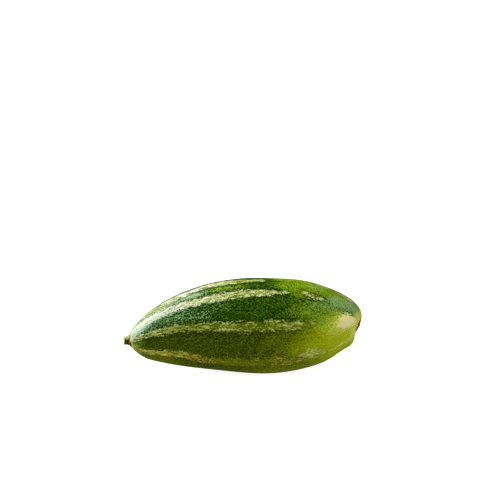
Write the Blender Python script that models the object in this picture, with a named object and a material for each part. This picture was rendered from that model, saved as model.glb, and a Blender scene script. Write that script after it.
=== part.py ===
"""A pointed gourd: one striped fruit lying on its side, with the stub of its stalk and its dried blossom scar.

The long axis runs along X, with the stalk at -X and the blossom end at +X. The fruit lies on a small
flat spot at z = 0. Places along the fruit run from -1, where the stalk was, to 1, where the blossom
was, with 0 at the belly. Angles round it start at the side that faces -Y and grow towards the top.
"""

from math import acos, cos, exp, pi, radians, sin, sqrt

import bmesh
import bpy
from mathutils import Matrix, Vector

# The fruit, in metres. Its outline is worked out on each side of the belly, its widest ring.
BELLY_RADIUS = 0.0184
STALK_REACH = 0.0486  # from the belly to the collar
BLOSSOM_REACH = 0.0380  # from the belly to the blossom end
STALK_SIDE_POWERS = (1.70, 0.487)  # a lower first power gives a longer, leaner shoulder
BLOSSOM_SIDE_POWERS = (2.04, 0.446)
FLAT_DEPTH = 0.0004  # how much of the round belly the flat resting spot takes away
BELLY_CENTRE = Vector((0.0066, 0.0, BELLY_RADIUS - FLAT_DEPTH))

# The fruit isn't quite straight: its stalk end droops, and both ends come a little forward.
STALK_DROOP = 0.0054
STALK_DROOP_POWER = 2.55
BLOSSOM_RISE = 0.0005
STALK_FORWARD = 0.0022
BLOSSOM_FORWARD = 0.0008
STALK_LEAN = radians(-6.0)  # how far the last rings lean towards the blossom end
BLOSSOM_LEAN = radians(16.0)
BLOSSOM_TURN = radians(20.0)  # how far the last rings turn to face forward
BLOSSOM_TWIST_POWER = 4.5

# The belly isn't quite round either: it swells and sinks a little. Each swell has a height, a number
# of half waves along the fruit, a number of waves round it and a start angle.
SWELLS = ((0.00016, 0.5, 2, 0.6), (0.00012, 1.5, 1, 2.2), (0.00008, 2.5, 3, 4.0))
SWELL_FADE_POWER = 4  # the swells fade out towards the two ends

# Broad bumps: a place, an angle in degrees and a height, then the reach along and round the fruit.
BUMPS = (
    (-1.00, 110.0, 0.00060, 0.055, 60.0),
    (-0.90, -66.0, 0.00036, 0.080, 45.0),
    (0.42, 113.0, 0.00033, 0.220, 40.0),
)

# Below the blossom scar the end bulges outwards, most where a ring has this radius.
BULGE_HEIGHT = 0.00160
BULGE_RADIUS = 0.00700
BULGE_REACH = 0.00260
BULGE_ANGLE = radians(-66.0)
BULGE_WIDTH = radians(45.0)

# Nine stripes run from end to end. Each stands up as a soft rib, most of all near the two ends.
STRIPE_DEGREES = (93.0, 67.5, 26.5, -18.5, -62.0, -104.0, -147.0, 172.0, 133.0)
RIB_HALF_WIDTH = radians(12.0)
RIB_HEIGHT_BELLY = 0.00005
RIB_HEIGHT_STALK = 0.00032
RIB_HEIGHT_BLOSSOM = 0.00022
RIB_STALK_POWER = 5
RIB_BLOSSOM_POWER = 4

# The collar, where the fruit narrows to a short neck with the round socket of the stalk in its face, and
# the shallow seat of the blossom scar. A point of the neck is a share of the collar and a distance out.
COLLAR_RADIUS = 0.00270
COLLAR_POWER = 12  # a higher power keeps the collar closer to the stalk
NECK_OUTLINE = ((0.80, 0.00060), (0.91, 0.00030))
NECK_LENGTH = NECK_OUTLINE[0][1]
SOCKET_RADIUS = 0.00125
SOCKET_DEPTH = 0.00090
SEAT_RADIUS = 0.00290
SEAT_LIP = 0.00025
SEAT_DEPTH = 0.00080

FRUIT_RINGS = 38
FRUIT_SIDES = 72
GAP = 0.0003  # clearance between pieces that touch
SHARP_EDGE = radians(40.0)
WELD = 0.000001

# The stub of the stalk, snapped off short: a furrowed cane with a flared foot and a hollowed end.
STUB_LENGTH = 0.0028  # outside the neck
STUB_RADIUS = 0.00156  # at the cut end
STUB_ROOT_RADIUS = SOCKET_RADIUS - GAP
STUB_FURROWS = 5
STUB_FURROW_DEPTH = 0.10  # share of the radius
STUB_SMOOTH_SHARE = 0.25  # share of the length over which the furrows begin
STUB_BEND = 0.00010  # how far the tip bends up
STUB_SLANT = 0.00025  # how much higher one side of the broken end stands
STUB_SLANT_POWER = 4
STUB_SIDES = 30

# Its outline from the foot, past the waist and into the pith: shares of the radius and of the length.
STUB_OUTLINE = (
    (1.30, 0.11), (1.33, 0.16), (1.19, 0.27), (1.03, 0.46), (0.95, 0.61), (0.98, 0.82),
    (1.00, 0.94), (0.96, 0.985), (0.82, 1.00), (0.44, 0.91), (0.22, 0.84),
)

# The blossom scar: a lobed corky ring with the withered foot of the flower in its middle.
SCAR_RADIUS = SEAT_RADIUS - GAP
SCAR_HEIGHT = 0.00095
SCAR_LOBES = 5
SCAR_LOBE_DEPTH = 0.06  # share of the radius
SCAR_SIDES = 40
FOOT_RADIUS = 0.00070
FOOT_HEIGHT = 0.00130

# The ring's outline, then that of the flower's foot: shares of their own radius and height.
SCAR_OUTLINE = ((0.94, 0.00), (1.00, 0.30), (0.98, 0.80), (0.88, 1.00), (0.72, 0.94), (0.50, 0.65))
FOOT_OUTLINE = ((1.25, 0.48), (0.85, 0.66), (1.00, 0.90), (0.60, 1.00))


def clear_scene():
    """Removes the objects that the scene opened with."""
    for obj in list(bpy.data.objects):
        bpy.data.objects.remove(obj, do_unlink=True)


def make_material(name, colour, roughness):
    """A plain Principled material in one colour."""
    material = bpy.data.materials.new(name)
    material.use_nodes = True
    shader = material.node_tree.nodes["Principled BSDF"]
    shader.inputs["Base Color"].default_value = (*colour, 1.0)
    shader.inputs["Roughness"].default_value = roughness
    shader.inputs["Metallic"].default_value = 0.0
    return material


def ring_radius(place):
    """The fruit's radius, from the collar through the belly to nothing at the blossom end."""
    share = abs(place)
    first, second = STALK_SIDE_POWERS if place < 0.0 else BLOSSOM_SIDE_POWERS
    rounded = BELLY_RADIUS * max(1.0 - share**first, 0.0) ** second
    collar = COLLAR_RADIUS * max(-place, 0.0) ** COLLAR_POWER
    return sqrt(rounded**2 + collar**2)


def place_of_radius(radius):
    """The place on the blossom side where the fruit has this radius."""
    first, second = BLOSSOM_SIDE_POWERS
    return (1.0 - (radius / BELLY_RADIUS) ** (1.0 / second)) ** (1.0 / first)


def ring_centre(place):
    """The middle of a ring, which leaves the straight line near both ends."""
    stalk, blossom = max(-place, 0.0), max(place, 0.0)
    return BELLY_CENTRE + Vector((
        blossom * BLOSSOM_REACH - stalk * STALK_REACH,
        -STALK_FORWARD * stalk**2 - BLOSSOM_FORWARD * blossom**2,
        BLOSSOM_RISE * blossom**2 - STALK_DROOP * stalk**STALK_DROOP_POWER,
    ))


def ring_axes(place):
    """A ring's own directions: up and forward in its plane, and out of it towards the blossom end."""
    stalk, blossom = max(-place, 0.0), max(place, 0.0)
    lean = BLOSSOM_LEAN * blossom**BLOSSOM_TWIST_POWER + STALK_LEAN * stalk**2
    turn = BLOSSOM_TURN * blossom**BLOSSOM_TWIST_POWER
    up = Vector((sin(lean), 0.0, cos(lean)))
    level = Vector((cos(lean), 0.0, -sin(lean)))
    ahead = Vector((0.0, -1.0, 0.0))
    return up, cos(turn) * ahead - sin(turn) * level, cos(turn) * level + sin(turn) * ahead


def fruit_point(place, angle, radius, shift=0.0):
    """A point in a ring's plane, or moved out of it by a shift towards the blossom end."""
    up, front, along = ring_axes(place)
    return ring_centre(place) + radius * (sin(angle) * up + cos(angle) * front) + shift * along


def angle_between(angle, other):
    """The difference of two angles, brought between minus and plus half a turn."""
    return (angle - other + pi) % (2.0 * pi) - pi


def rib_height(place, angle):
    """How far the skin stands out: a bell curve over each stripe, taller near the two ends."""
    stalk, blossom = max(-place, 0.0), max(place, 0.0)
    at_stalk = RIB_HEIGHT_STALK * stalk**RIB_STALK_POWER
    at_blossom = RIB_HEIGHT_BLOSSOM * blossom**RIB_BLOSSOM_POWER
    offsets = [angle_between(angle, radians(stripe)) for stripe in STRIPE_DEGREES]
    bells = sum(exp(-((offset / RIB_HALF_WIDTH) ** 2)) for offset in offsets)
    return (RIB_HEIGHT_BELLY + at_stalk + at_blossom) * bells


def swell_height(place, angle):
    """How far the skin swells or sinks between the two ends, where it comes back to nothing."""
    waves = sum(h * sin(pi * along * place + around * angle + start) for h, along, around, start in SWELLS)
    return waves * (1.0 - place**SWELL_FADE_POWER)


def bump_height(place, angle):
    """How far the broad bumps lift the skin, each a bell along the fruit and round it."""
    total = 0.0
    for middle, degrees, height, reach, width in BUMPS:
        offset = angle_between(angle, radians(degrees)) / radians(width)
        total += height * exp(-(((place - middle) / reach) ** 2) - offset**2)
    return total


def skin_height(place, angle):
    """How far the skin stands out from the round form, with the ribs, swells and bumps."""
    return rib_height(place, angle) + swell_height(place, angle) + bump_height(place, angle)


def bulge_shift(place, angle, radius):
    """How far the blossom end bulges outwards, as a bell over the radius of its rings."""
    if place < 0.0:
        return 0.0
    offset = angle_between(angle, BULGE_ANGLE) / BULGE_WIDTH
    return BULGE_HEIGHT * exp(-(((radius - BULGE_RADIUS) / BULGE_REACH) ** 2) - offset**2)


def add_ring(mesh, sides, point_at):
    """A ring of vertices, one for each of the angles round it."""
    return [mesh.verts.new(point_at(2.0 * pi * i / sides)) for i in range(sides)]


def bridge_rings(mesh, rings):
    """Joins each ring of vertices to the next with faces, and closes the first and the last."""
    for lower, upper in zip(rings, rings[1:]):
        for i in range(len(lower)):
            j = (i + 1) % len(lower)
            mesh.faces.new((lower[i], lower[j], upper[j], upper[i]))
    mesh.faces.new(rings[0][::-1])
    mesh.faces.new(rings[-1])
    bmesh.ops.recalc_face_normals(mesh, faces=mesh.faces)


def add_object(name, mesh, material):
    """Turns a bmesh into a smooth-shaded object of one material."""
    data = bpy.data.meshes.new(name)
    mesh.to_mesh(data)
    mesh.free()
    data.shade_smooth()
    data.set_sharp_from_angle(angle=SHARP_EDGE)
    data.materials.append(material)
    obj = bpy.data.objects.new(name, data)
    bpy.context.scene.collection.objects.link(obj)
    return obj


def cut_flat(mesh):
    """Takes away what lies under z = 0 and closes the cut, which leaves the flat resting spot."""
    geometry = mesh.verts[:] + mesh.edges[:] + mesh.faces[:]
    origin, down = (0.0, 0.0, 0.0), (0.0, 0.0, -1.0)
    cut = bmesh.ops.bisect_plane(mesh, geom=geometry, dist=WELD, plane_co=origin, plane_no=down, clear_outer=True)
    edges = [item for item in cut["geom_cut"] if isinstance(item, bmesh.types.BMEdge)]
    bmesh.ops.holes_fill(mesh, edges=edges, sides=0)


def make_fruit(material):
    """The fruit: ribbed rings between the stalk's socket and the seat of the blossom scar."""
    mesh = bmesh.new()
    rings = []
    for shift in (SOCKET_DEPTH - NECK_LENGTH, -NECK_LENGTH):
        rings.append(add_ring(mesh, FRUIT_SIDES, lambda angle: fruit_point(-1.0, angle, SOCKET_RADIUS, shift)))
    for share, out in NECK_OUTLINE:
        rings.append(add_ring(mesh, FRUIT_SIDES, lambda angle: fruit_point(
            -1.0, angle, share * (COLLAR_RADIUS + skin_height(-1.0, angle)), -out
        )))

    seat_place = place_of_radius(SEAT_RADIUS + SEAT_LIP)
    sweep = acos(-seat_place)
    for i in range(FRUIT_RINGS):
        place = -cos(sweep * i / (FRUIT_RINGS - 1))
        radius = ring_radius(place)
        rings.append(add_ring(mesh, FRUIT_SIDES, lambda angle: fruit_point(
            place, angle, radius + skin_height(place, angle), bulge_shift(place, angle, radius)
        )))

    for shift in (0.5 * SEAT_LIP, -SEAT_DEPTH):
        rings.append(add_ring(mesh, FRUIT_SIDES, lambda angle: fruit_point(seat_place, angle, SEAT_RADIUS, shift)))
    bridge_rings(mesh, rings)
    cut_flat(mesh)
    return add_object("fruit", mesh, material)


def turned_piece(name, outline, sides, shape, matrix, material):
    """A piece turned round its own Z axis from an outline of radii and heights, which shape then bends."""
    mesh = bmesh.new()
    rings = [add_ring(mesh, sides, lambda angle: shape(radius, height, angle)) for radius, height in outline]
    bridge_rings(mesh, rings)
    obj = add_object(name, mesh, material)
    obj.matrix_world = matrix
    return obj


def end_matrix(place, outwards, shift=0.0):
    """Where a piece at an end of the fruit stands: its Z axis points out of the fruit, and its X axis back."""
    up, front, along = ring_axes(place)
    z_axis = outwards * along
    x_axis = -front
    rotation = Matrix((x_axis, z_axis.cross(x_axis), z_axis)).transposed().to_4x4()
    return Matrix.Translation(fruit_point(place, 0.0, 0.0, shift)) @ rotation


def lobes(count, depth, angle):
    """A share of the radius that dips by depth, once for each furrow or lobe."""
    return 1.0 - depth * (0.5 + 0.5 * cos(count * angle))


def stub_shape(radius, height, angle):
    """Furrows the stub outside the neck, bends its tip up and slants its broken end."""
    outside = min(max(height / STUB_LENGTH, 0.0), 1.0)
    radius *= lobes(STUB_FURROWS, STUB_FURROW_DEPTH * min(outside / STUB_SMOOTH_SHARE, 1.0), angle)
    height += STUB_SLANT * outside**STUB_SLANT_POWER * cos(angle)
    return Vector((radius * cos(angle), radius * sin(angle) - STUB_BEND * outside**2, height))


def make_stub(material):
    """The stub of the stalk, its root in the fruit's socket."""
    outline = [(STUB_ROOT_RADIUS, GAP - SOCKET_DEPTH), (STUB_ROOT_RADIUS, 0.0)]
    outline += [(r * STUB_RADIUS, h * STUB_LENGTH) for r, h in STUB_OUTLINE]
    matrix = end_matrix(-1.0, -1.0, -NECK_LENGTH)
    return turned_piece("stem_stub", outline, STUB_SIDES, stub_shape, matrix, material)


def scar_shape(radius, height, angle):
    """Gives the ring of the scar its lobes, where the petals stood."""
    radius *= lobes(SCAR_LOBES, SCAR_LOBE_DEPTH, angle)
    return Vector((radius * cos(angle), radius * sin(angle), height))


def make_scar(material):
    """The blossom scar, seated in the fruit's end."""
    outline = [(r * SCAR_RADIUS, h * SCAR_HEIGHT) for r, h in SCAR_OUTLINE]
    outline += [(r * FOOT_RADIUS, h * FOOT_HEIGHT) for r, h in FOOT_OUTLINE]
    seat_place = place_of_radius(SEAT_RADIUS + SEAT_LIP)
    matrix = end_matrix(seat_place, 1.0, GAP - SEAT_DEPTH)
    return turned_piece("blossom_scar", outline, SCAR_SIDES, scar_shape, matrix, material)


def main():
    """Makes the fruit, then the stub of its stalk and its blossom scar."""
    clear_scene()
    make_fruit(make_material("skin", (0.055, 0.115, 0.012), 0.45))
    make_stub(make_material("dry_stalk", (0.36, 0.31, 0.15), 0.8))
    make_scar(make_material("corky_scar", (0.20, 0.12, 0.05), 0.85))


main()
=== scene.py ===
import math

import bpy
import numpy as np
from mathutils import Matrix, Vector


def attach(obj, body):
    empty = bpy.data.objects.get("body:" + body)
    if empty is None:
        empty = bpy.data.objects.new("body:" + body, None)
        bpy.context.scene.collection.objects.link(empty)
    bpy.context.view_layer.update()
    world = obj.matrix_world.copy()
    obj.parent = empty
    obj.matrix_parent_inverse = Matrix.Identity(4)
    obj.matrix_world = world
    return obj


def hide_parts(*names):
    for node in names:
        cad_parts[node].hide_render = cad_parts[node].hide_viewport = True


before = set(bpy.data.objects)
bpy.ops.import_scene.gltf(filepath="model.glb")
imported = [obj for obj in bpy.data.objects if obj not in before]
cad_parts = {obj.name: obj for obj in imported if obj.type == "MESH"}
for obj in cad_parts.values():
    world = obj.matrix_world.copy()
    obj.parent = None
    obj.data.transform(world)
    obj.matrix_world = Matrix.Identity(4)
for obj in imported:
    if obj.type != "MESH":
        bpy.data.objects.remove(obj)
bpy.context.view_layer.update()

# A pointed gourd lying on its side. It lies along X, its stalk at -X and its blossom end at +X.
# A place v along it runs from -1 at the stalk to 1 at the blossom end, with 0 at the belly.
# An angle round it starts at the side that faces -Y and grows towards the top, +Z.

mm = 0.001
turn = 2.0 * math.pi

# The camera has the photograph's view, from in front and a little above

view = {
    "elevation": 23.5,  # degrees above the floor
    "distance": 700.0 * mm,
    "lens": 132.3,  # on a sensor 36 mm wide
    "clipStart": 10.0 * mm,
    "frameSide": 500,  # pixels
    "bellyPixel": (259.5, 325.0),  # where the middle of the belly shows
}


# The camera stands at belly - across * right + drop * up + distance * back, and looks along -back
def aimCamera(bellyCentre):
    elevation = math.radians(view["elevation"])
    right = Vector((1.0, 0.0, 0.0))
    up = Vector((0.0, math.sin(elevation), math.cos(elevation)))
    back = Vector((0.0, -math.cos(elevation), math.sin(elevation)))
    data = bpy.data.cameras.new("photoCamera")
    data.lens = view["lens"]
    data.clip_start = view["clipStart"]
    pixel = view["distance"] * data.sensor_width / (view["lens"] * view["frameSide"])
    across, drop = ((at - 0.5 * view["frameSide"]) * pixel for at in view["bellyPixel"])
    camera = bpy.data.objects.new(data.name, data)
    bpy.context.scene.collection.objects.link(camera)
    place = Vector(bellyCentre) - across * right + drop * up + view["distance"] * back
    camera.matrix_world = Matrix.Translation(place) @ Matrix((right, up, back)).transposed().to_4x4()
    bpy.context.scene.camera = camera


# The floor is a glowing white sheet, and the soft light comes from behind on the left and from above

studio = {
    "floorSide": 12.0,  # metres
    "floorDrop": 0.05 * mm,
    "floorColour": (0.35, 0.35, 0.35),
    "glowColour": (1.0, 1.0, 1.0),
    "glowStrength": 0.62,
    "floorRoughness": 0.9,
    "skyColour": (0.93, 0.98, 1.0),
    "skyStrength": 0.40,
    "look": "High Contrast",
    # strength, turn from +Y towards -X, height over the floor, width (these three in degrees), colour
    "suns": {
        "keyLight": (3.7, 46.0, 23.0, 42.0, (0.97, 1.0, 1.0)),
        "topLight": (2.4, 170.0, 74.0, 100.0, (1.0, 0.99, 0.95)),
        "rightLight": (0.6, -75.0, 38.0, 30.0, (0.9, 0.97, 1.0)),
    },
}


# A sun's light comes from (-sin(a) cos(h), cos(a) cos(h), sin(h)), with a its turn and h its height
def makeStudio():
    scene = bpy.context.scene
    world = bpy.data.worlds.new("softSky")
    world.use_nodes = True
    background = world.node_tree.nodes["Background"]
    background.inputs["Color"].default_value = paint(studio["skyColour"])
    background.inputs["Strength"].default_value = studio["skyStrength"]
    scene.world = world
    scene.view_settings.view_transform = "Standard"
    scene.view_settings.look = studio["look"]

    for name, (strength, turned, height, width, colour) in studio["suns"].items():
        data = bpy.data.lights.new(name, "SUN")
        data.energy = strength
        data.angle = math.radians(width)
        data.color = colour
        lamp = bpy.data.objects.new(name, data)
        scene.collection.objects.link(lamp)
        a, h = math.radians(turned), math.radians(height)
        towards = Vector((-math.sin(a) * math.cos(h), math.cos(a) * math.cos(h), math.sin(h)))
        lamp.rotation_euler = towards.to_track_quat("Z", "Y").to_euler()

    half = 0.5 * studio["floorSide"]
    corners = [(-half, -half), (half, -half), (half, half), (-half, half)]
    mesh = bpy.data.meshes.new("floor")
    mesh.from_pydata([(x, y, -studio["floorDrop"]) for x, y in corners], [], [(0, 1, 2, 3)])
    floor = bpy.data.objects.new("floor", mesh)
    scene.collection.objects.link(floor)
    material, tree, shader = newMaterial("whiteFloor")
    shader.inputs["Base Color"].default_value = paint(studio["floorColour"])
    shader.inputs["Roughness"].default_value = studio["floorRoughness"]
    shader.inputs["Emission Color"].default_value = paint(studio["glowColour"])
    shader.inputs["Emission Strength"].default_value = studio["glowStrength"]
    mesh.materials.append(material)


# Node helpers

def newMaterial(name, specular=0.5):
    material = bpy.data.materials.new(name)
    material.use_nodes = True
    shader = material.node_tree.nodes["Principled BSDF"]
    shader.inputs["Specular IOR Level"].default_value = specular
    return material, material.node_tree, shader


# Each input of the new node is set, or linked if its value is another node's output
def addNode(tree, kind, inputs, **settings):
    node = tree.nodes.new(kind)
    for name, value in settings.items():
        setattr(node, name, value)
    for key, value in inputs.items():
        if isinstance(value, bpy.types.NodeSocket):
            tree.links.new(value, node.inputs[key])
        else:
            node.inputs[key].default_value = value
    return node


def calc(tree, operation, *values):
    return addNode(tree, "ShaderNodeMath", dict(enumerate(values)), operation=operation).outputs[0]


# The first value times all the others
def product(tree, value, *others):
    for other in others:
        value = calc(tree, "MULTIPLY", value, other)
    return value


# value + sum of amount (noise - 0.5), over the noises that the amounts name
def wobbled(tree, value, noises, amounts):
    for name, amount in amounts.items():
        value = calc(tree, "ADD", value, calc(tree, "MULTIPLY_ADD", noises[name], amount, -0.5 * amount))
    return value


# Goes smoothly from start to end while the value goes from low to high. The limits are low and high,
# and also start and end where these aren't 0 and 1.
def fade(tree, value, limits):
    low, high, start, end = limits if len(limits) == 4 else (*limits, 0.0, 1.0)
    inputs = {"Value": value, "From Min": low, "From Max": high, "To Min": start, "To Max": end}
    return addNode(tree, "ShaderNodeMapRange", inputs, interpolation_type="SMOOTHSTEP").outputs[0]


# The places of the colour sockets on a Mix node
mixFactor, mixFirst, mixSecond, mixResult = 0, 6, 7, 2


# first (1 - factor) + second factor, for colours
def blend(tree, factor, first, second):
    inputs = {mixFactor: factor, mixFirst: paint(first), mixSecond: paint(second)}
    return addNode(tree, "ShaderNodeMix", inputs, data_type="RGBA").outputs[mixResult]


# Three numbers of a colour get their fourth, and a node's output stays as it is
def paint(colour):
    return (*colour, 1.0) if isinstance(colour, tuple) else colour


# Noise on a stretched place. Its settings are waves for each unit, the share of them along the first
# direction, detail and roughness.
def noiseOf(tree, place, scale, stretch, detail, roughness):
    flat = addNode(tree, "ShaderNodeMapping", {"Vector": place, "Scale": (stretch, 1.0, 1.0)}).outputs[0]
    inputs = {"Vector": flat, "Scale": scale, "Detail": detail, "Roughness": roughness}
    return addNode(tree, "ShaderNodeTexNoise", inputs).outputs[0]


# Several noises of one place, by their names
def noisesOf(tree, place, settings):
    return {name: noiseOf(tree, place, *values) for name, values in settings.items()}


def attributeOf(tree, name, output="Fac"):
    return addNode(tree, "ShaderNodeAttribute", {}, attribute_name=name).outputs[output]


# Gives the shader its colour, a roughness that fades with a noise, and a bump
def dress(tree, shader, look, colour, roughness, height):
    inputs = {"Height": height, "Distance": look["bumpDistance"], "Strength": look["bumpStrength"]}
    bump = addNode(tree, "ShaderNodeBump", inputs)
    tree.links.new(colour, shader.inputs["Base Color"])
    tree.links.new(fade(tree, roughness, look["fades"]["roughness"]), shader.inputs["Roughness"])
    tree.links.new(bump.outputs["Normal"], shader.inputs["Normal"])


# Mesh helpers

# A sum of sin(m angle + k s + start), divided by the root of how many there are, which keeps it near -1..1.
# The settings are a seed, how many waves, the most waves round and the most radians for each unit of s.
def waves(settings, angle, s):
    seed, count, across, along = settings
    rng = np.random.default_rng(seed)
    m = rng.integers(1, across + 1, count)
    k = rng.uniform(-along, along, count)
    start = rng.uniform(0.0, turn, count)
    total = sum(np.sin(m[i] * angle + k[i] * s + start[i]) for i in range(count))
    return total / math.sqrt(count)


# Closes rows of points, shape (rows, sides, 3), into a tube with a fan of faces to a pole at each end.
# A pole, and its value in each attribute, is the mean of the row beside it.
def ringMesh(name, points, attributes, material):
    rows, sides = points.shape[:2]
    poles = np.array([points[0].mean(axis=0), points[-1].mean(axis=0)])
    index = np.arange(rows * sides).reshape(rows, sides)
    after = np.roll(index, -1, axis=1)
    quads = np.stack([index[:-1], after[:-1], after[1:], index[1:]], axis=-1).reshape(-1, 4)
    first = np.stack([after[0], index[0], np.full(sides, rows * sides)], axis=-1)
    last = np.stack([index[-1], after[-1], np.full(sides, rows * sides + 1)], axis=-1)
    mesh = bpy.data.meshes.new(name)
    vertices = np.concatenate([points.reshape(-1, 3), poles])
    mesh.from_pydata(vertices.tolist(), [], quads.tolist() + first.tolist() + last.tolist())
    for label, values in attributes.items():
        values = np.broadcast_to(values, (rows, sides) + values.shape[2:])
        ends = np.stack([values[0].mean(axis=0), values[-1].mean(axis=0)])
        values = np.concatenate([values.reshape((-1,) + values.shape[2:]), ends])
        kind, field = ("FLOAT_VECTOR", "vector") if values.ndim == 2 else ("FLOAT", "value")
        layer = mesh.attributes.new(label, kind, "POINT")
        layer.data.foreach_set(field, values.astype(np.float32).ravel())
    mesh.shade_smooth()
    mesh.materials.append(material)
    piece = bpy.data.objects.new(name, mesh)
    bpy.context.scene.collection.objects.link(piece)
    return piece


# The fruit's form

fruitForm = {
    "bellyRadius": 18.4 * mm,
    "bellyCentre": (6.6 * mm, 0.0, 18.0 * mm),
    "stalkReach": 48.6 * mm,  # from the belly to the collar
    "blossomReach": 38.0 * mm,
    "stalkPowers": (1.70, 0.487),
    "blossomPowers": (2.04, 0.446),
    "collarRadius": 2.70 * mm,
    "collarPower": 12,
    "stalkDroop": 5.4 * mm,
    "stalkDroopPower": 2.55,
    "blossomRise": 0.5 * mm,
    "stalkForward": 2.2 * mm,
    "blossomForward": 0.8 * mm,
    "stalkLean": -6.0,  # degrees
    "blossomLean": 16.0,
    "blossomTurn": 20.0,
    "blossomTwistPower": 4.5,
    # height in mm, half waves along the fruit, waves round it, start angle
    "swells": ((0.16, 0.5, 2, 0.6), (0.12, 1.5, 1, 2.2), (0.08, 2.5, 3, 4.0)),
    "swellFadePower": 4,
    # height in mm, place and angle of the middle, reach in place and angle
    "bumps": ((0.60, -1.00, 110.0, 0.055, 60.0), (0.36, -0.90, -66.0, 0.080, 45.0),
              (0.33, 0.42, 113.0, 0.220, 40.0)),
    # height and the ring radius where it is highest, reach in radius, angle and reach in angle
    "bulge": (1.60 * mm, 7.0 * mm, 2.6 * mm, -66.0, 45.0),
    "ribHalfWidth": 12.0,  # degrees
    "ribBelly": 0.05 * mm,
    "ribStalk": 0.32 * mm,
    "ribBlossom": 0.22 * mm,
    "ribStalkPower": 5,
    "ribBlossomPower": 4,
    "neckLength": 0.6 * mm,
    "neckShare": 0.80,  # of the collar's radius, where the stub's foot lies on the neck
    # from the socket over the neck to the collar: share of the collar's radius, distance out in mm
    "neck": ((0.45, -0.30), (0.52, 0.30), (0.60, 0.52), (0.72, 0.62), (0.80, 0.58), (0.87, 0.42),
             (0.94, 0.20)),
    "seatRadius": 3.15 * mm,
    # from the fruit's end into the seat of the scar: radius and distance out in mm
    "seat": ((3.05, 0.09), (2.88, 0.07), (2.62, -0.10), (2.20, -0.45)),
    "lengthSteps": 4001,
    "rows": 308,
    "sides": 304,
    "skinInset": 0.02 * mm,  # keeps the fine skin inside the size of the fruit
    "farthest": 45.62 * mm,  # keeps the bulge inside it too
}

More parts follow.
